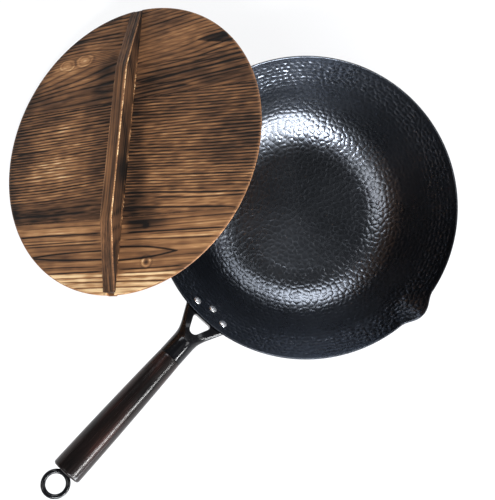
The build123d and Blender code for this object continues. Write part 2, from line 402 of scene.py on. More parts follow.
def black_enamel():
    """Gloss black coating with a faint orange-peel."""
    n = Nodes("black_enamel")
    peel = n.noise(420, detail=2)
    colour = n.ramp(n.noise(60), (0.3, (0.0025, 0.0025, 0.003)), (0.7, (0.005, 0.005, 0.006)))
    rough = n.span(peel, 0.3, 0.7, 0.12, 0.18)
    return n.finish(
        Base_Color=colour, Roughness=rough, Specular_IOR_Level=0.3, Normal=n.bump(peel, 0.04, 0.3)
    )


def rivet_steel():
    """Bright steel with turning marks and a little tarnish."""
    n = Nodes("rivet_steel")
    haze = n.noise(500, detail=4)
    colour = n.ramp(haze, (0.25, (0.72, 0.72, 0.73)), (0.75, (0.93, 0.93, 0.94)))
    rough = n.span(haze, 0.3, 0.7, 0.2, 0.3)
    return n.finish(Base_Color=colour, Metallic=0.85, Roughness=rough, Normal=n.bump(haze, 0.03, 0.4))


def dark_wood():
    """Nearly black stained wood, with red-brown showing through and pores along the grip."""
    n = Nodes("dark_wood", grained=True)
    fibre = n.noise((30, 1400, 1400), detail=4, rough=0.6)
    stain = n.noise((14, 70, 70), detail=3)
    pores = n.noise((120, 2600, 2600), detail=2)
    tone = n.total((stain, 0.75), (fibre, 0.35))
    colour = n.ramp(
        tone,
        (0.4, (0.003, 0.0026, 0.0026)),
        (0.58, (0.008, 0.005, 0.0045)),
        (0.8, (0.036, 0.012, 0.009)),
    )
    rough = n.span(fibre, 0.35, 0.65, 0.15, 0.28)
    under = n.bump(pores, 0.06, 0.5)
    grain = n.bump(fibre, 0.07, 0.8, under)
    return n.finish(Base_Color=colour, Roughness=rough, Specular_IOR_Level=0.26, Normal=grain)


# How much the fibres and the patches move the tone of the charred wood, about its middle
FIBRE_SHARE = 0.5
PATCH_SHARE = 0.3


def charred_wood(name, fibre_scale, grained=True):
    """Burnt and brushed softwood: values on the mesh say where it is burnt, grooved and worn, and where
    painted highlights pale it beside single dark lines and along the lid's rim.
    """
    n = Nodes(name, grained)
    fibre = n.noise(fibre_scale, detail=4, rough=0.6)
    patch = n.noise((22, 40, 40), detail=4)
    speckle = n.noise(700, detail=3)
    burnt = n.math("SUBTRACT", n.value("burn"), (FIBRE_SHARE + PATCH_SHARE) / 2)
    # The wear value pales worn spots, and lays a painted highlight along one half of the lid's rim
    rubbed_and_highlit = n.math("MULTIPLY", n.value("worn"), n.span(speckle, 0.35, 0.6, 0.2, 0.9))
    tone = n.total(
        (burnt, 1), (fibre, FIBRE_SHARE), (patch, PATCH_SHARE), (n.value("groove"), 0.8), (rubbed_and_highlit, -1)
    )
    colour = n.ramp(
        tone,
        (0.0, (0.78, 0.55, 0.30)), (0.22, (0.405, 0.208, 0.09)),
        (0.45, (0.205, 0.096, 0.042)), (0.68, (0.092, 0.044, 0.022)),
        (1.0, (0.008, 0.006, 0.005)),
    )
    rough = n.span(fibre, 0.3, 0.7, 0.45, 0.6)
    return n.finish(
        Base_Color=colour, Roughness=rough, Specular_IOR_Level=0.2, Normal=n.bump(fibre, 0.3, 0.4)
    )


steel = blued_steel()
enamel = black_enamel()
bright = rivet_steel()
stained = dark_wood()

# Bowl


def meridian(inset, spacing):
    """(radius, height, slope) along the wall's surface at an inset, from the middle to the rim."""
    rows = [(r, inset, 0.0) for r in np.arange(0, BASE_RADIUS, spacing)]
    for radius, centre, start, end in (
        (heel_radius, (BASE_RADIUS, heel_radius), 0.0, HEEL_TURN),
        (side_radius, side_centre, HEEL_TURN, RIM_TURN),
    ):
        steps = int(radius * (end - start) / spacing)
        for slope in np.linspace(start, end, steps, endpoint=False):
            across = centre[0] + (radius - inset) * math.sin(slope)
            height = centre[1] - (radius - inset) * math.cos(slope)
            if height < RIM_HEIGHT - SHEET / 2:
                rows.append((across, height, slope))
    return np.array(rows)


def spouted(radius, turn, height):
    """Radius with the two spouts pulled out of the wall."""
    share = unit((height - RIM_HEIGHT + SPOUT_DEPTH) / SPOUT_DEPTH)
    reach = np.maximum(0, (SPOUT_REACH + SHEET) * share - SHEET - SPOUT_BOW * share * (1 - share))
    half_width = between(SPOUT_FOOT_HALF_WIDTH, SPOUT_HALF_WIDTH, share)
    side = unit(np.abs(radius * np.sin(turn)) / half_width)
    return radius + reach * (1 + np.cos(np.pi * side**SPOUT_FLANK_POWER)) / 2


# Hammer marks: spacing, stray from it as a share, strengths, depth, reach of a mark's middle and
# of its raised edge, and how the edges waver
MARK_ACROSS = 7.2
MARK_ALONG = 5.4
STRAY_ACROSS = 0.38
STRAY_ALONG = 0.36
MARK_STRENGTHS = (0.55, 1.0)
MARK_DEPTH = 0.42
MARK_REACH = 4.4
EDGE_REACH = 2.6
EDGE_POWER = 1.6
WAVER = 0.8
WAVER_CELL = 3

# Share of their depth that the marks have at some heights; they end below the rim
DEPTH_HEIGHTS = (0, 20, 34, 50, 64, 90)
DEPTH_SHARES = (0.85, 1.0, 0.55, 0.6, 1.6, 1.4)
MARK_END = 1.5
MARK_FADE = 5
BASE_CALM = 0.45
CALM_MARGIN = 8

# Darkening of the surface outside the marks: painted shade on the lip, and wear on the outer wall
LIP_PAINTED_SHADE = -2.2
OUTSIDE_WEAR = -0.2

# Mesh of the bowl: spacing of its rows inside and outside, and its points round the lip
INNER_SPACING = 0.9
OUTER_SPACING = 3.2
LIP_POINTS = 9


def hammer_marks():
    """Middles of the hammer marks, in loose rings over the inside of the bowl, and their strengths."""
    chance = np.random.default_rng(7)
    marks = []
    rows = meridian(SHEET, 1.0)
    travel = np.concatenate([[0], np.cumsum(np.hypot(np.diff(rows[:, 0]), np.diff(rows[:, 1])))])
    for place in np.arange(MARK_ALONG / 2, travel[-1], MARK_ALONG):
        radius, height = (np.interp(place, travel, rows[:, k]) for k in (0, 1))
        count = max(1, round(2 * math.pi * radius / MARK_ACROSS))
        steps = np.arange(count) + chance.uniform()
        steps = steps + chance.uniform(-STRAY_ACROSS, STRAY_ACROSS, count)
        turns = steps / count * 2 * math.pi
        radii = radius + chance.uniform(-STRAY_ALONG, STRAY_ALONG, count) * MARK_ALONG
        marks += [(r * math.cos(t), r * math.sin(t), height) for r, t in zip(radii, turns)]
    tree = KDTree(len(marks))
    for index, mark in enumerate(marks):
        tree.insert(mark, index)
    tree.balance()
    return tree, chance.uniform(*MARK_STRENGTHS, len(marks))


def make_bowl(steps=1080):
    marks, strengths = hammer_marks()
    turn = full_turn(steps)[None, :]
    inner, outer = meridian(SHEET, INNER_SPACING), meridian(0.0, OUTER_SPACING)
    radius, height, slope = inner[:, :1], inner[:, 1:2], inner[:, 2:3]
    base = points_of(radius * np.cos(turn), radius * np.sin(turn), height)
    cells = base[..., :2] / WAVER_CELL
    waver = [WAVER * smooth_noise(cells[..., 0], cells[..., 1], seed) for seed in (8, 9)]
    asked = base + points_of(*waver, 0)
    found = [marks.find_n(p, 2) for p in asked.reshape(-1, 3)]
    near, far = (np.array([pair[k][2] for pair in found]).reshape(base.shape[:2]) for k in (0, 1))
    strength = strengths[[pair[0][1] for pair in found]].reshape(base.shape[:2])
    ridge = unit(1 - (far - near) / EDGE_REACH) ** EDGE_POWER
    fade = unit((RIM_HEIGHT - MARK_END - height) / MARK_FADE)
    fade = fade * np.interp(height, DEPTH_HEIGHTS, DEPTH_SHARES)
    calm = 1 - BASE_CALM * unit((BASE_RADIUS + CALM_MARGIN - radius) / (2 * CALM_MARGIN))
    hollow = (1 - ridge) * (1 - 0.5 * unit(near / MARK_REACH) ** 2)
    depth = MARK_DEPTH * strength * hollow * fade * calm
    flat_radius = radius + depth * np.sin(slope)
    flat_height = height - depth * np.cos(slope)
    shape = Shape()

    def ring_points(radii, heights):
        radii = spouted(radii, turn, heights)
        return points_of(radii * np.cos(turn), radii * np.sin(turn), heights)

    lip_in, lip_out = inner[-1], outer[-1]
    middle = (lip_in[:2] + lip_out[:2]) / 2
    start = math.degrees(math.atan2(lip_in[1] - middle[1], lip_in[0] - middle[0]))
    half = np.hypot(*(lip_in[:2] - lip_out[:2])) / 2
    lip = np.array(arc(middle, half, start, start - 180, LIP_POINTS)[1:-1])
    rows = np.vstack([
        ring_points(flat_radius, flat_height),
        ring_points(lip[:, :1], lip[:, 1:2]),
        ring_points(outer[::-1, :1], outer[::-1, 1:2]),
    ])
    # Per row: wear on the ridges inside, painted shade on the lip, and wear on the outer wall
    worn = np.vstack([
        ridge * fade,
        np.full((len(lip), steps), LIP_PAINTED_SHADE),
        np.full((len(outer), steps), OUTSIDE_WEAR),
    ])
    outside = np.vstack([np.zeros((len(inner) + len(lip), steps)), np.ones((len(outer), steps))])
    shape.grid(rows, around=True, ridge=worn, outside=outside)
    return shape.make("bowl_shell", crease=70)


dress(make_bowl(), "wok", "blued_steel", steel, "bowl")

# Handle

# Frame of the handle: x along it, y across and z up
level, climb = math.cos(HANDLE_RISE), math.sin(HANDLE_RISE)
handle_root = Vector((0, -RIM_RADIUS, RIM_HEIGHT - HANDLE_DROP))
handle_frame = frame_on((0, -level, climb), (1, 0, 0), (0, climb, level), handle_root)

# Fork, in stations: share of its length, of the way to its root width and to the socket's height
FORK_LENGTH = 30.0
FORK_ROOT_WIDTH = 48.8
ARM_HEIGHT = 9.2
FORK_STATIONS = np.array([
    (-0.35, 1.45, 0), (0, 1, 0), (0.3, 0.61, 0.06),
    (0.6, 0.23, 0.32), (0.8, 0.06, 0.68), (1, 0, 1),
])
SOCKET_STATIONS = (36.0, 42.0, 48.0, SOCKET_END)
BRACKET_EDGE = 0.9

# Window between the arms, and the flange: its outline from the rim down and from the middle out
WINDOW_INSET = 0.6
WINDOW_LENGTH = 27.3
WINDOW_ROOT_WIDTH = 24.8
WINDOW_ROOT_CORNER = 3.0
WINDOW_APEX_CORNER = 5.7
FLANGE_DROPS = (8.0, 18.0, 32.5)
FLANGE_HALF_WIDTH = 27.0
FLANGE_FOOT_HALF_WIDTH = 8.0
FLANGE_CORNER = 6.0

# Reach of the cutting tools past what they cut, and the spacing of their rows
PLATE_LOW = 40.0
WALL_LOW = 20.0
WALL_OVERRUN = 12.0
FLANGE_CUT = (100.0, 180.0)
WINDOW_CUT = (-25.0, 25.0)
BORE_OVERRUN = 2.0
TOOL_SPACING = 2.0


def eased(places, knots, values):
    """Smooth curve through points, as a cubic with averaged slopes."""
    slopes = np.gradient(values, knots)
    index = np.clip(np.searchsorted(knots, places) - 1, 0, len(knots) - 2)
    width = knots[index + 1] - knots[index]
    t = (places - knots[index]) / width
    return (
        (2 * t**3 - 3 * t**2 + 1) * values[index]
        + (t**3 - 2 * t**2 + t) * width * slopes[index]
        + (3 * t**2 - 2 * t**3) * values[index + 1]
        + (t**3 - t**2) * width * slopes[index + 1]
    )


def closed_tube(shape, rings, matrix, **values):
    """A closed solid through rings of points, with a flat cap on each end."""
    caps = [np.broadcast_to(ring.mean(axis=0), ring.shape) for ring in (rings[0], rings[-1])]
    local = np.stack([caps[0], *rings, caps[1]])
    shape.grid(moved(local, matrix), around=True, **values)


def fork_ring(along, width, height, count=64):
    turn = full_turn(count)
    across = np.cos(turn) * height / 2 + np.sign(np.cos(turn)) * (width - height) / 2
    return points_of(along, across, np.sin(turn) * height / 2)


def revolved_solid(inset, low, high, flare=0.6):
    """Solid inside the wall's surface at an inset, between two heights."""
    rows = [(h, r) for r, h, _ in meridian(inset, TOOL_SPACING) if low < h]
    top_radius = rows[-1][1] + flare * (high - rows[-1][0])
    profile = [(rows[0][0], 0), *rows, (high, top_radius), (high, 0)]
    shape = Shape()
    lathe(shape, profile, frame_on((0, 0, 1), (1, 0, 0), (0, 1, 0)), steps=360)
    return shape.solid()


def prism(outline, matrix, low, high):
    """Upright prism on a closed outline, from one height to another along the matrix's z axis."""
    rings = [points_of(*np.array(outline, float).T, height) for height in (low, high)]
    shape = Shape()
    closed_tube(shape, rings, matrix)
    return shape.solid()


def rounded_outline(corners, steps=7):
    """Closed outline with each corner (x, y, radius) rounded."""
    points = []
    for index, (x, y, radius) in enumerate(corners):
        here = Vector((x, y))
        before = (Vector(corners[index - 1][:2]) - here).normalized()
        after = (Vector(corners[(index + 1) % len(corners)][:2]) - here).normalized()
        half = math.acos(max(-1, min(1, before.dot(after)))) / 2
        centre = here + (before + after).normalized() * radius / math.sin(half)
        first = here + before * radius / math.tan(half) - centre
        last = here + after * radius / math.tan(half) - centre
        sweep = first.angle_signed(last)
        for step in np.linspace(0, 1, steps):
            spot = centre + Matrix.Rotation(-sweep * step, 2) @ first
            points.append((spot.x, spot.y))
    return points


def make_bracket():
    shape = Shape()
    places = np.linspace(FORK_STATIONS[0, 0], 1, 40)
    knots, to_width, to_height = FORK_STATIONS.T
    socket = 2 * SOCKET_RADIUS
    widths = between(socket, FORK_ROOT_WIDTH, eased(places, knots, to_width))
    heights = between(ARM_HEIGHT, socket, eased(places, knots, to_height))
    rings = [fork_ring(s * FORK_LENGTH, w, min(h, w)) for s, w, h in zip(places, widths, heights)]
    rings += [fork_ring(a, socket, socket) for a in SOCKET_STATIONS]
    closed_tube(shape, rings, handle_frame)
    bracket = shape.solid("bracket_piece")

    plate = revolved_solid(-SEAT_GAP - FLANGE_THICKNESS, PLATE_LOW, RIM_HEIGHT)
    upright = frame_on((1, 0, 0), (0, 0, 1), (0, -1, 0))
    top, side, foot = (RIM_HEIGHT - drop for drop in FLANGE_DROPS)
    right = [(FLANGE_HALF_WIDTH, top), (FLANGE_HALF_WIDTH, side), (FLANGE_FOOT_HALF_WIDTH, foot)]
    left = [(-across, up) for across, up in right]
    outline = [(*corner, FLANGE_CORNER) for corner in (left[0], *right, left[2], left[1])]
    boolean(plate, prism(rounded_outline(outline), upright, *FLANGE_CUT), "INTERSECT")
    boolean(bracket, plate, "UNION")
    inside = revolved_solid(-SEAT_GAP, WALL_LOW, RIM_HEIGHT + WALL_OVERRUN)
    boolean(bracket, inside, "DIFFERENCE")

    half = WINDOW_ROOT_WIDTH / 2
    window = [
        (WINDOW_INSET, -half, WINDOW_ROOT_CORNER),
        (WINDOW_INSET + WINDOW_LENGTH, 0, WINDOW_APEX_CORNER),
        (WINDOW_INSET, half, WINDOW_ROOT_CORNER),
    ]
    boolean(bracket, prism(rounded_outline(window, 10), handle_frame, *WINDOW_CUT), "DIFFERENCE")
    bore_shape = Shape()
    bore_radius = SOCKET_RADIUS - SOCKET_WALL
    floor = SOCKET_END - SOCKET_DEPTH
    mouth = SOCKET_END + BORE_OVERRUN
    profile = [(floor, 0), (floor, bore_radius), (mouth, bore_radius), (mouth, 0)]
    lathe(bore_shape, profile, handle_frame, steps=72)
    boolean(bracket, bore_shape.solid(), "DIFFERENCE")
    edge = bracket.modifiers.new("edges", "BEVEL")
    edge.width = BRACKET_EDGE * MM
    edge.segments = 3
    edge.limit_method = "ANGLE"
    edge.angle_limit = math.radians(38)
    apply_modifiers(bracket)
    smooth(bracket, 50)
    return bracket


dress(make_bracket(), "wok", "black_enamel", enamel, "handle_bracket")


def wall_frame(lateral, drop):
    """Frame on the outside of the wall, x pointing out of the wall."""
    height = RIM_HEIGHT - drop
    slope = math.acos((side_centre[1] - height) / side_radius)
    radius = side_centre[0] + side_radius * math.sin(slope)
    turn = -math.pi / 2 + math.asin(lateral / radius)
    level = Vector((math.cos(turn), math.sin(turn), 0))
    out = level * math.sin(slope) - UP * math.cos(slope)
    along = UP.cross(level)
    return frame_on(out, along, out.cross(along), level * radius + UP * height)


# Rivets: places from the bracket's middle and below the rim, and rise and radius of the domed
# heads in the bowl and of the tails on the flange
RIVET_PLACES = ((-18.4, 15.5), (0.0, 23.8), (18.4, 15.5))
RIVET_SHANK_RADIUS = 2.5
RIVET_HEAD = (2.0, 4.6)
RIVET_TAIL = (1.7, 4.0)
RIVET_DOME_POWER = 1.25


def make_rivets():
    shape = Shape()
    head, tail = -SHEET - SEAT_GAP, FLANGE_THICKNESS + 2 * SEAT_GAP

    def dome(face, way, rise, radius, steps=14):
        share = np.sin(np.linspace(0, math.pi / 2, steps))
        rises = rise * np.sqrt(np.maximum(0, 1 - share**2)) ** RIVET_DOME_POWER
        return list(zip(face + way * rises, radius * share))

    shank = [(head, RIVET_SHANK_RADIUS), (tail, RIVET_SHANK_RADIUS)]
    profile = dome(head, -1, *RIVET_HEAD) + shank + dome(tail, 1, *RIVET_TAIL)[::-1]
    for lateral, drop in RIVET_PLACES:
        lathe(shape, profile, wall_frame(lateral, drop), steps=40)
    return shape.make("rivet_heads")


dress(make_rivets(), "wok", "rivet_steel", bright, "handle_rivets")


# Grip: radii at the socket, half way and at the end, and its rounded edges
GRIP_RADII = (12.7, 14.65, 15.6)
GRIP_START_EDGE = ((0.0, 12.2), (0.25, 12.58), (0.7, 12.72))
GRIP_CORNER_RADIUS = 15.55
GRIP_END_ROUND = 2.6
RECESS_EDGE = 0.4


def make_grip():
    shape = Shape()
    bore, tenon = BOLT_RADIUS + TURNING_FIT, SOCKET_RADIUS - SOCKET_WALL - SLIDE_GAP
    tenon_start = SOCKET_END - TENON_LENGTH
    recess_floor = GRIP_END - RECESS_DEPTH
    places = np.linspace(0, 1, 60)
    # The back is one curve through the three radii
    first, half_way, last = GRIP_RADII
    back = first * (1 - places) * (1 - 2 * places) + 4 * half_way * places * (1 - places)
    back = back + last * places * (2 * places - 1)
    body_end = 1 - (GRIP_END_ROUND + 0.1) / GRIP_LENGTH
    body = [(GRIP_START + GRIP_LENGTH * p, r) for p, r in zip(places, back) if p < body_end]
    round_centre = (GRIP_END - GRIP_END_ROUND, GRIP_CORNER_RADIUS - GRIP_END_ROUND)
    profile = [
        (tenon_start, bore), (tenon_start, tenon), (GRIP_START, tenon),
        *[(GRIP_START + along, radius) for along, radius in GRIP_START_EDGE],
        *body[1:], *arc(round_centre, GRIP_END_ROUND, 90, 0, 9),
        (GRIP_END, RECESS_RADIUS + RECESS_EDGE), (GRIP_END - RECESS_EDGE, RECESS_RADIUS),
        (recess_floor, RECESS_RADIUS), (recess_floor, bore), (tenon_start, bore),
    ]
    lathe(shape, profile, Matrix.Identity(4), steps=128)
    return shape.make("grip_wood", crease=50)


metre_frame = frame_on(*handle_frame.to_3x3().transposed(), handle_root * MM)
dress(settle(make_grip(), metre_frame), "grip", "dark_wood", stained, "grip")


# Eye bolt: bevels of its tip and its collar, and the taper from the collar to the ring
BOLT_TIP_RADIUS = 2.6
BOLT_TIP_BEVEL = 0.5
COLLAR_BEVEL = 0.3
NECK_TAPER = 1.0


def make_eye():
    shape = Shape()
    tip = SOCKET_END - SOCKET_DEPTH - BOLT_TIP_LENGTH
    low = GRIP_END - RECESS_DEPTH + SLIDE_GAP
    high = low + COLLAR_THICKNESS
    neck = EYE_CENTRE - EYE_RADIUS
    profile = [
        (tip, 0), (tip, BOLT_TIP_RADIUS), (tip + BOLT_TIP_BEVEL, BOLT_RADIUS), (low, BOLT_RADIUS),
        (low, COLLAR_RADIUS - COLLAR_BEVEL), (low + COLLAR_BEVEL, COLLAR_RADIUS),
        (high - COLLAR_BEVEL, COLLAR_RADIUS), (high, COLLAR_RADIUS - COLLAR_BEVEL), (high, BOLT_RADIUS),
        (high + NECK_TAPER, EYE_WIRE), (neck, EYE_WIRE), (neck, 0),
    ]
    lathe(shape, profile, Matrix.Identity(4), 48)
    around, wire = full_turn(96)[:, None], full_turn(32)[None, :]
    reach = EYE_RADIUS + EYE_WIRE * np.cos(wire)
    rise = EYE_WIRE * np.sin(wire)
    ring = points_of(EYE_CENTRE + reach * np.cos(around), reach * np.sin(around), rise)
    shape.grid(np.concatenate([ring, ring[:1]]), around=True, flip=True)
    return shape.make("hanging_eye", crease=50)


dress(settle(make_eye(), metre_frame), "eye_bolt", "black_enamel", enamel, "eye_bolt")

# Lid

heading = Vector((math.cos(LEAN_HEADING), math.sin(LEAN_HEADING), 0))
sideways = heading.cross(UP)
slope_dir = heading * math.cos(LEAN_TILT) + UP * math.sin(LEAN_TILT)
lid_normal = UP * math.cos(LEAN_TILT) - heading * math.sin(LEAN_TILT)
grain_dir = slope_dir * math.cos(GRAIN_TURN) - sideways * math.sin(GRAIN_TURN)
contact_height = RIM_HEIGHT + SLIDE_GAP / math.cos(LEAN_TILT)
contact_reach = max(RIM_RADIUS, (RIM_RADIUS + SPOUT_REACH) * heading.x)
down_slope = contact_height / math.sin(LEAN_TILT) - (LID_RADIUS - LID_UNDERCUT)
contact = UP * contact_height - heading * contact_reach
lid_origin = contact - slope_dir * down_slope + sideways * LEAN_SIDEWAYS
lid_frame = frame_on(grain_dir, lid_normal.cross(grain_dir), lid_normal, lid_origin * MM)

# Figures of the grain: ringed knots and a dark wedge in board 1, knots and loops in board 3. A
# loop has its foot, its length left or right and its half width. A ring has its place and width
# as shares of its knot's size, and how much more burnt it is
KNOT_LOW = (40.0, -125.0)
KNOT_SMALL = (36.0, -88.0)
KNOTS_UPPER = [(-66.0, 109.0, 11.0, 6.5), (-90.0, 107.0, 10.0, 6.0)]
KNOT_RINGS = [(1.0, 0.1, -0.13), (1.2, 0.1, 0.16), (0.7, 0.12, 0.16), (0.3, 0.12, 0.12)]
LOOPS = [(-6.0, -115.5, -105.0, 4.6), (-6.0, -115.0, 79.0, 7.0)]
WEDGE = (77.0, 108.0, 58.0)

# Single dark lines: height at the middle, slope, half width, from x, to x, strength
DARK_LINES = {
    1: [
        (88, 0.02, 0.7, 8, 150, 0.45), (79, 0.04, 0.7, 8, 150, 0.6), (71, 0.05, 0.9, 8, 150, 0.7),
        (64, 0.04, 0.7, 30, 150, 0.6), (57, 0.03, 0.9, 8, 75, 0.8), (135, 0.02, 1.2, -90, -14, 0.6),
        (145, 0.04, 0.8, -60, -14, 0.5), (128, -0.06, 1, -105, -14, 0.5),
    ],
    2: [
        (-51, -0.06, 0.7, 8, 150, 0.9), (-57, -0.05, 0.6, 40, 150, 0.7), (-67, -0.06, 0.8, 8, 140, 0.9),
        (-61, 0.02, 0.6, -100, -14, 0.5), (-67, 0.02, 0.8, -150, -40, 0.6),
        (8, 0.02, 0.8, -150, -95, 0.8), (34, -0.05, 0.8, 70, 150, 0.5), (-34, -0.05, 0.8, 60, 150, 0.6),
        (-22, 0.02, 0.7, -150, -100, 0.6),
    ],
    3: [
        (-83.5, 0, 0.45, -128, -18, 0.55), (-91.5, 0.005, 0.7, -132, -18, 1),
        (-94.2, 0, 0.4, -80, -18, 0.6), (-99.5, 0.01, 0.6, -128, -18, 0.9),
        (-103.5, 0, 0.45, -120, -18, 0.7), (-127.5, 0, 0.5, -92, -14, 0.6),
        (-133.5, 0, 0.6, -84, -12, 0.9), (-82.5, 0.01, 0.5, 10, 150, 0.6),
        (-93.5, -0.01, 0.7, 12, 128, 1), (-96.8, 0, 0.4, 40, 126, 0.7),
        (-101.5, -0.01, 0.6, 8, 118, 0.8), (-132, 0.02, 0.6, 8, 84, 0.9),
        (-135.6, 0.02, 0.5, 8, 80, 0.8),
    ],
    4: [
        (-143.5, 0, 0.5, -70, 70, 0.8), (-149.5, 0, 0.4, -50, 50, 0.7),
    ],
}

# Burnt and pale patches, and a darker band beside the batten's right side: middle, reach along and
# across the grain, how much more or less burnt
PATCHES = [
    (-78, 106, 44, 18, -0.18), (-34, 88, 22, 30, 0.16), (-120, 62, 40, 14, 0.12),
    (46, 110, 42, 17, -0.12), (20, 64, 34, 13, 0.22), (100, 72, 60, 13, 0.12), (30, 146, 60, 10, 0.06),
    (110, 128, 30, 12, -0.06), (-88, -8, 40, 26, -0.22), (-146, -8, 18, 70, 0.18),
    # (17, -50) and (14, 20) darken the face in a band beside the batten's right side
    (-30, 0, 15, 75, 0.12), (-70, 50, 70, 9, 0.08), (-105, -66, 60, 10, 0.36), (17, -50, 15, 32, 0.3),
    (14, 20, 9, 40, 0.18), (118, 10, 36, 44, 0.16), (62, -4, 34, 30, -0.08), (88, -28, 40, 16, -0.12),
    (98, -66, 46, 8, -0.12), (32, -87, 22, 7, 0.42), (26, -76, 20, 10, 0.2), (-70, -84, 60, 5, -0.1),
    (100, -100, 30, 14, -0.1), (-70, -116, 38, 6, 0.14), (25, -114, 30, 9, 0.1),
    (-60, -128, 50, 5, 0.08),
]

# Per board: how burnt it is, how much less so between its lines and in the painted highlight beside its
# single dark lines, and how streaked
BOARD_BURN = {1: (0.6, 0.14, 0.1), 2: (0.56, 0.3, 0.15), 3: (0.45, 0.16, 0.05), 4: (0.18, 0.2, 0.04)}

# Per board: drift of the grain, its reach along and across, its seed, the spacing of the lines,
# their width and least strength as shares, and how strong and how calm they are
BOARD_GRAIN = {
    1: (1.8, 80, 14, 11, 4.6, 0.2, 0.15, 0.75, 1),
    2: (1.9, 110, 17, 12, 3.3, 0.26, 0.5, 1, 1),
    3: (2.2, 120, 12, 13, 5.2, 0.14, 0.0, 1, 0.55),
    4: (1.6, 90, 20, 14, 5.0, 0.14, 0.1, 1, 0.6),
}


def wavering(x, level, seed, size=0.9):
    """A slow random drift of one grain line along the board."""
    return size * smooth_noise(x / 55 + 0.31 * level, level + 0 * x, seed)


def upper_phase(x, y):
    """Grain of board 1: bowed round the two knots, fanned out under them, rising at the right."""
    fan = unit((x + 150) / 130)
    below = BOARD_JOINTS[0] + (y - BOARD_JOINTS[0]) / (1 + 1.05 * fan)
    above = y - 5 * bump_of(x, y, KNOTS_UPPER[0][0] - 8, 116, 46, 22)
    share = unit((y - 100) / 16)
    left = between(below, above, share)
    right = y - 0.09 * x - 4 * bump_of(x, y, WEDGE[0] + 26, WEDGE[1], 40, 16)
    side = unit(x / 16 + 0.5)
    return between(left, right, side)


def grain_lines(x, y, board):
    """How deep in a grain line each point of a board's face is, and how pale between the lines and in a
    painted highlight beside each single dark line.
    """
    drift, reach_x, reach_y, seed, spacing, width, least, strong, calm = BOARD_GRAIN[board]
    level = y
    if board == 1:
        level = upper_phase(x, y)
        calm = calm - 0.85 * bump_of(x, y, 44, 112, 38, 15)
        for x0, y0, half_x, half_y in KNOTS_UPPER:
            calm = calm * (1 - bump_of(x, y, x0, y0, half_x * 1.2, half_y * 1.3))
    elif board == 2:
        level = y - np.where(x > 0, -0.055, 0.012) * x
        calm = calm - 0.8 * unit((-52 - y) / 6)
    phase = (level + drift * smooth_noise(x / reach_x, y / reach_y, seed)) / spacing
    saw = np.abs((phase % 1) - 0.5) * 2
    line = unit(1 - (1 - saw) / (2 * width))
    strength = 0.6 + 0.55 * smooth_noise(x / 48, phase * 1.3, 21)
    line = line * np.clip(strength, least, 1) * calm * strong
    pale = unit(1 - saw / 0.55) * (0.5 + 0.6 * smooth_noise(x / 17, phase * 2.3, 22)) * calm
    if board == 3:
        for x0, y0, half_x, half_y in LOOPS:
            along = np.clip((x - x0) / half_x, 0, 1.2)
            half = half_y * unit(1 - along**2.6)
            inside = (along > 0) * unit((half + 2.5 - np.abs(y - y0)) / 1.5)
            line = line * (1 - 0.8 * inside)
            edge = band(np.abs(y - y0 - wavering(x, y0, 33, 0.5)), half, 0.75)
            line = np.maximum(line, edge * (along > 0) * (along < 1.02))
    for level, rise, half_width, start, end, depth in DARK_LINES[board]:
        middle = level + rise * x + wavering(x, level, 31)
        ends = unit((x - start) / 9) * unit((end - x) / 9)
        line = np.maximum(line, depth * ends * band(y, middle, half_width))
        # Beside each single dark line, a paler band is a painted highlight on its crest
        pale = pale + 0.5 * depth * ends * band(np.abs(y - middle), 2 * half_width + 0.6, 0.7)
    return unit(line), unit(pale)


def burning(x, y, board, pale):
    """How dark each point of the boards' face is, 0 golden and 1 black; the painted highlight beside
    single dark lines makes it paler.
    """
    burnt, paler, streaked = BOARD_BURN[board]
    burn = burnt - paler * pale + streaked * smooth_noise(x / 8, y / 1.2, 44)
    burn = burn + 0.1 * smooth_noise(x / 50, y / 12, 41) + 0.07 * smooth_noise(x / 20, y / 4, 42)
    burn = burn + 0.06 * smooth_noise(x / 9, y / 9, 43)
    if board == 3:
        burn = burn - 0.3 * unit((-134 - y) / 4)
        burn = burn - 0.12 * (np.abs((y + 88) % 12 - 6) > 4)
    for x0, y0, reach_x, reach_y, amount in PATCHES:
        burn = burn + amount * bump_of(x, y, x0, y0, reach_x, reach_y)
    burn = burn + 0.2 * unit((np.hypot(x, y) - 147) / 11) * (x < -20) * (y > -80)
    for x0, y0, half_x, half_y in KNOTS_UPPER:
        ring = np.hypot((x - x0) / half_x, (y - y0) / half_y)
        ring = ring + 0.12 * smooth_noise(x / 5, y / 4, 46)
        burn = burn - 0.2 * unit(1.3 - ring)
        for place, width, amount in KNOT_RINGS:
            burn = burn + amount * band(ring, place, width)
    ring = np.hypot(x - KNOT_LOW[0], y - KNOT_LOW[1])
    broken = 0.65 + 0.5 * smooth_noise(x / 4, y / 4, 45)
    burn = burn - 0.32 * broken * band(ring, 4.6, 1.2) + 0.55 * band(ring, 0, 2.6)
    burn = burn + 0.2 * band(ring, 6.6, 0.9)
    burn = burn + 0.5 * bump_of(x, y, *KNOT_SMALL, 3.4, 2.6)
    tip_x, tip_y, length = WEDGE
    along = unit((x - tip_x) / length)
    upper = tip_y + 11 * along ** 0.7 - 4 * along
    lower = tip_y - 13 * along ** 0.8
    inside = unit((upper - y) / 1.2) * unit((y - lower) / 1.2) * (x > tip_x)
    return burn + 0.46 * inside * unit(2.2 - 2 * along)


# Boards: strip of fixed columns over the groove, spacing of rows, depth of lines, joints and
# wear, reach of the joints and of the worn rim, which also gets a painted highlight on one half, and
# the rounded edge
GROOVE_STRIP = 8.0
GROOVE_STEP = 0.02
BOARD_ROW = 0.5
JOINT_ROW = 0.25
GRAIN_DEPTH = 0.7
JOINT_DEPTH = 0.3
WEAR_DEPTH = 0.12
JOINT_REACH = 0.9
RIM_REACH = 2.2
RIM_FADE = 1.5
LID_EDGE = (0.7, 0.9, 1.1)
LID_EDGE_MIDDLE = 5.5


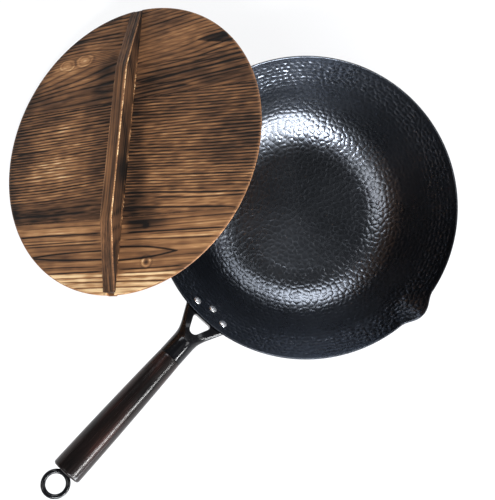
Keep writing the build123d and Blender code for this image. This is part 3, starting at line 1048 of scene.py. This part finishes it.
def board_columns(half_chord, count=58):
    """Columns across the batten's groove at fixed places, and spread outwards from there."""
    middle = np.array([TONGUE_MOUTH, TONGUE_MOUTH + GROOVE_STEP, GROOVE_STRIP])
    middle = np.concatenate([-middle[::-1], [0], middle])
    middle = np.broadcast_to(middle, (len(half_chord), len(middle)))
    spread = between(GROOVE_STRIP, half_chord, np.linspace(0, 1, count)[1:])
    return np.concatenate([-spread[:, ::-1], middle, spread], axis=1)


def border(grid):
    """The outermost points of a grid, once around."""
    return np.concatenate([grid[0], grid[1:, -1], grid[-1, -2::-1], grid[-2:0:-1, 0]])


def make_board(index, high, low):
    shape = Shape()
    top_end = math.sqrt(LID_RADIUS**2 - (GROOVE_STRIP + 0.2) ** 2)
    edges = [min(high, top_end), max(low, -top_end)]
    width = edges[0] - edges[1]
    share = np.linspace(0, 1, int(width / BOARD_ROW))
    share = np.sort(np.concatenate([share, [JOINT_ROW / width, 1 - JOINT_ROW / width]]))

    def level(radius, height):
        """Grid of the board's outline at a radius and a height."""
        scale = radius / LID_RADIUS
        top = edges[0] if high < LID_RADIUS else edges[0] * scale
        bottom = edges[1] if low > -LID_RADIUS else edges[1] * scale
        rows = between(top, bottom, share)[:, None]
        chord = np.sqrt(np.maximum(radius**2 - rows**2, (GROOVE_STRIP + 0.05) ** 2))
        return points_of(board_columns(chord), rows, height)

    face = level(LID_RADIUS - LID_EDGE[0], LID_THICKNESS)
    x, y = face[..., 0], face[..., 1]
    line, pale = grain_lines(x, y, index)
    joint = np.zeros_like(x)
    for edge in (high, low):
        if abs(edge) < LID_RADIUS:
            joint = np.maximum(joint, unit(1 - np.abs(y - edge) / JOINT_REACH))
    rim = unit((np.hypot(x, y) - LID_RADIUS + RIM_REACH) / RIM_FADE)
    wear = WEAR_DEPTH * (1 + smooth_noise(x / 8, y / 2, 51) + rim)
    drop = GRAIN_DEPTH * line + JOINT_DEPTH * joint + wear
    groove = np.abs(x) <= TONGUE_MOUTH
    groove_floor = LID_THICKNESS - TONGUE_DEPTH
    face[..., 2] = np.where(groove, groove_floor, LID_THICKNESS - drop)
    burn = burning(x, y, index, pale) + 0.5 * groove
    dark = np.maximum(line, 0.6 * joint)
    # Along the rim of the face's x > 0 half, a painted highlight pales the wood
    shape.grid(face, flip=True, burn=burn, groove=dark, worn=0.06 * rim * (x > 0))

    under = level(LID_RADIUS - LID_UNDERCUT, 0.0)
    x, y = under[..., 0], under[..., 1]
    burn = 0.42 + 0.2 * smooth_noise(x / 50, y / 12, 61)
    shape.grid(under, burn=burn, groove=0.6 * grain_lines(x, y, index)[0], worn=0.0)

    # The edge, from the face down: outline, how burnt and how worn
    middle = level(LID_RADIUS - LID_UNDERCUT / 2, LID_EDGE_MIDDLE)
    outlines = (
        (face, 0.5, 0.06),
        (level(LID_RADIUS, LID_THICKNESS - LID_EDGE[1]), 0.55, 0.2),
        (level(LID_RADIUS, LID_THICKNESS - LID_EDGE[2]), 0.6, 0.1),
        (middle, 0.55, 0),
        (under, 0.5, 0),
    )
    rows = [border(grid) for grid, _, _ in outlines]
    for row in rows[1:]:
        row[:, 2] = np.where(border(groove), np.minimum(row[:, 2], groove_floor), row[:, 2])
    burn, worn = (np.array([outline[k] for outline in outlines])[:, None] for k in (1, 2))
    shape.grid(np.stack(rows), around=True, burn=burn, groove=0.0, worn=worn)
    return shape.make(f"lid_board_{index}_wood", crease=55)


boards_wood = charred_wood("charred_boards", (22, 460, 300))
batten_wood = charred_wood("charred_batten", (700, 12, 700))
dowel_wood = charred_wood("charred_dowels", 300, grained=False)
limits = [LID_RADIUS, *BOARD_JOINTS, -LID_RADIUS]
for number, (high, low) in enumerate(zip(limits, limits[1:]), start=1):
    board = settle(make_board(number, high, low), lid_frame)
    dress(board, "lid", "charred_wood", boards_wood, f"lid_board_{number}")


# Batten: rounded upper edges, depth of its brushed surface and lines, room at its sides and tongue
ARRIS = 1.3
ARRIS_DROP = 1.1
BRUSHED_DEPTH = 0.16
LINE_DEPTH = 0.35
SIDE_ROOM = 0.12
TONGUE_ROOM = 0.05
TONGUE_LAP = 0.3
CHARRED = dict(burn=0.9, groove=0.0, worn=0.0)
BATTEN_ROWS = 157
SIDE_POINTS = 14
TOP_POINTS = 29


def make_batten():
    shape = Shape()
    stations = np.linspace(-BATTEN_HALF_LENGTH, BATTEN_HALF_LENGTH, BATTEN_ROWS)[:, None]
    taper = BATTEN_HALF_LENGTH - BATTEN_TOP_HALF_LENGTH
    past = unit((np.abs(stations) - BATTEN_TOP_HALF_LENGTH) / taper)
    height = between(BATTEN_HEIGHT, BATTEN_END_HEIGHT, past)

    # The section, up one side, across the top and down the other: x and height as shares
    side = np.linspace(0, 1, SIDE_POINTS)[:-1]
    across = np.linspace(1, -1, TOP_POINTS)
    section_x = np.concatenate([np.ones(len(side)), across, -np.ones(len(side))])
    section_v = np.concatenate([side, np.ones(TOP_POINTS), side[::-1]])
    near_edge = unit(1 + BATTEN_HALF_WIDTH * (np.abs(across) - 1) / ARRIS)
    round_off = ARRIS_DROP * (1 - np.sqrt(1 - near_edge**2))
    fall = np.pad(round_off, len(side))
    half = between(BATTEN_FOOT_HALF_WIDTH, BATTEN_HALF_WIDTH, section_v)

    grain = smooth_noise(stations / 16 + 0 * section_x, section_x * 5 + section_v * 7, 71)
    drift = 0.8 * smooth_noise(stations / 60, 0 * section_x + 3, 72)
    lines = np.abs(((section_x * 7 + section_v * 19) / 3.1 + drift) % 1 - 0.5) * 2
    line = unit((lines - 0.72) / 0.28) ** 1.4
    push = BRUSHED_DEPTH * (1 + grain) + LINE_DEPTH * line
    on_top = unit((section_v - 0.9) / 0.1)
    x = section_x * (half - SIDE_ROOM - push * (1 - on_top))
    z = LID_THICKNESS + height * section_v - (fall + push) * on_top * np.minimum(1, height / 6)
    points = points_of(x, stations, z)

    chip = 0.5 + 0.5 * smooth_noise(stations / 7, section_x * 2, 73)
    # The right side below the top is made darker than the top and the left side
    right = (section_x > 0.5) * (section_v < 0.97)
    stripe = (section_x > 0.25) * (section_x < 0.62) * (section_v > 0.97)
    burn = np.where(right, 0.79, 0.6) + 0.14 * smooth_noise(stations / 30, section_x * 3, 74)
    burn = burn + 0.16 * past + 0.2 * stripe
    edge = band(np.abs(section_x), 1, 0.11) * unit((section_v - 0.93) / 0.07)
    foot = band(section_v, 0, 0.12) * (section_x > 0)
    worn = edge * (0.45 + 0.6 * chip) * (1 - 0.5 * past) + foot * np.clip(2.2 * chip - 0.4, 0, 1.2)
    shape.grid(points, burn=burn, groove=line * 0.5, worn=worn)

    for row, flip in ((points[0], False), (points[-1], True)):
        middle = (0, row[0, 1], LID_THICKNESS + BATTEN_END_HEIGHT / 2)
        cap = np.stack([np.broadcast_to(middle, row.shape), row])
        shape.grid(cap, flip=flip, **CHARRED)
    shape.grid(np.stack([points[:, 0], points[:, -1]], axis=1), flip=True, **CHARRED)

    mouth, base = TONGUE_MOUTH - TONGUE_ROOM, TONGUE_BASE - TONGUE_ROOM
    high, low = LID_THICKNESS + TONGUE_LAP, LID_THICKNESS - TONGUE_DEPTH + TONGUE_ROOM
    section = ((-mouth, high), (mouth, high), (base, low), (-base, low))
    ends = (-BATTEN_HALF_LENGTH, BATTEN_HALF_LENGTH)
    rings = [np.array([(a, place, b) for a, b in section]) for place in ends]
    closed_tube(shape, rings, Matrix.Identity(4), burn=0.75, groove=0.2, worn=0.0)
    return shape.solid("lid_batten_wood", crease=50)


dress(settle(make_batten(), lid_frame), "lid", "charred_wood", batten_wood, "lid_batten")

# The two inner pieces keep their CAD shape and get a material
for node, material in (("tie_nut", bright), ("lid_dowels", dowel_wood)):
    inner_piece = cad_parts[node]
    inner_piece.data.materials.clear()
    inner_piece.data.materials.append(material)

# Floor, light and camera

FLOOR_HALF_SIZE = 40.0
FLOOR_DROP = 0.0004
FLOOR_GLOW = 0.86
bpy.ops.mesh.primitive_plane_add(size=2 * FLOOR_HALF_SIZE, location=(0, 0, -FLOOR_DROP))
floor = bpy.context.object
floor.name = "floor"
paper = Nodes("pale_floor")
tint = paper.ramp(paper.noise(1.5), (0.3, (0.93, 0.935, 0.95)), (0.7, (0.96, 0.96, 0.965)))
floor.data.materials.append(paper.finish(Base_Color=tint, Roughness=0.9, Specular_IOR_Level=0.1))
# The floor looks nearly white to the camera and to gloss, and keeps a faint shadow
ray = paper.node("LightPath").outputs
seen = paper.math("ADD", ray["Is Camera Ray"], ray["Is Glossy Ray"])
seen = paper.math("ADD", seen, ray["Is Transmission Ray"], clamp=True)
glow = paper.node("Emission", {"Color": (0.985, 0.99, 1.0, 1), "Strength": 1.0})
mix = paper.node("MixShader")
paper.put(mix.inputs[0], paper.math("MULTIPLY", seen, FLOOR_GLOW))
paper.put(mix.inputs[1], paper.shader.outputs[0])
paper.put(mix.inputs[2], glow.outputs[0])
paper.put(paper.tree.nodes["Material Output"].inputs["Surface"], mix.outputs[0])

world = bpy.data.worlds.new("studio")
bpy.context.scene.world = world
world.use_nodes = True
sky = world.node_tree
background = sky.nodes["Background"]
# The studio is white at the horizon, pale above it and dim overhead, where the camera stands
way_up = sky.nodes.new("ShaderNodeSeparateXYZ")
sky.links.new(sky.nodes.new("ShaderNodeTexCoord").outputs["Generated"], way_up.inputs[0])
fall = sky.nodes.new("ShaderNodeValToRGB")
fall.color_ramp.interpolation = "EASE"
levels = ((0.04, 0.95), (0.2, 0.13), (0.6, 0.12), (0.95, 0.04))
fill_ramp(fall, [(place, (level, level, level)) for place, level in levels])
sky.links.new(way_up.outputs["Z"], fall.inputs["Fac"])
sky.links.new(fall.outputs["Color"], background.inputs["Strength"])
background.inputs["Color"].default_value = (0.97, 0.98, 1.0, 1)

# Turn of the picture's right from the part's x axis
CAMERA_TURN = math.radians(42.4)

LAMP_DISTANCE = 1.7
LAMP_TARGET = Vector((0, 0, 0.03))
WHITE = (1, 1, 1)
COOL = (0.93, 0.96, 1.0)

# Name, turn from the picture's right towards its top and rise in degrees, size, power, colour
LAMPS = (
    ("near_low", 290, 6, (0.65, 0.24), 34, COOL),
    ("near_mid", 286, 19, (0.6, 0.2), 6.5, COOL),
    ("near", 276, 30, (0.45, 0.35), 10, COOL),
    ("near_high", 266, 50, (0.45, 0.28), 24, COOL),
    ("near_wide", 290, 52, (0.7, 0.4), 3.5, COOL),
    ("far", 90, 36, (1.0, 0.55), 14, COOL),
    ("far_side", 48, 32, (0.7, 0.4), 3.2, COOL),
    ("side", 0, 40, (0.6, 0.5), 5, WHITE),
    ("left", 190, 60, (0.6, 0.6), 5.0, WHITE),
    ("over", 8, 66, (0.4, 0.4), 0.25, WHITE),
    ("right", 315, 31, (0.9, 0.12), 30, WHITE),
)


def softbox(name, turn, rise, size, power, colour):
    """Area lamp aimed at the bowl."""
    lamp = bpy.data.lights.new(f"lamp_{name}", "AREA")
    lamp.shape = "RECTANGLE"
    lamp.size, lamp.size_y = size
    lamp.energy = power
    lamp.color = colour
    turn, rise = CAMERA_TURN + math.radians(turn), math.radians(rise)
    way = Vector((math.cos(rise) * math.cos(turn), math.cos(rise) * math.sin(turn), math.sin(rise)))
    light = linked(lamp.name, lamp)
    light.location = way * LAMP_DISTANCE + LAMP_TARGET
    light.rotation_euler = way.to_track_quat("Z", "Y").to_euler()


for lamp_row in LAMPS:
    softbox(*lamp_row)

CAMERA_PLACE = Vector((-15.2, -73.5, 867.6)) * MM
CAMERA_LENS = 53.96
camera_data = bpy.data.cameras.new("camera")
camera_data.sensor_width = 36
camera_data.lens = CAMERA_LENS
camera = linked("camera", camera_data)
camera.location = CAMERA_PLACE
camera.rotation_euler = Euler((0, 0, CAMERA_TURN))
bpy.context.scene.camera = camera
bpy.context.scene.view_settings.view_transform = "Standard"
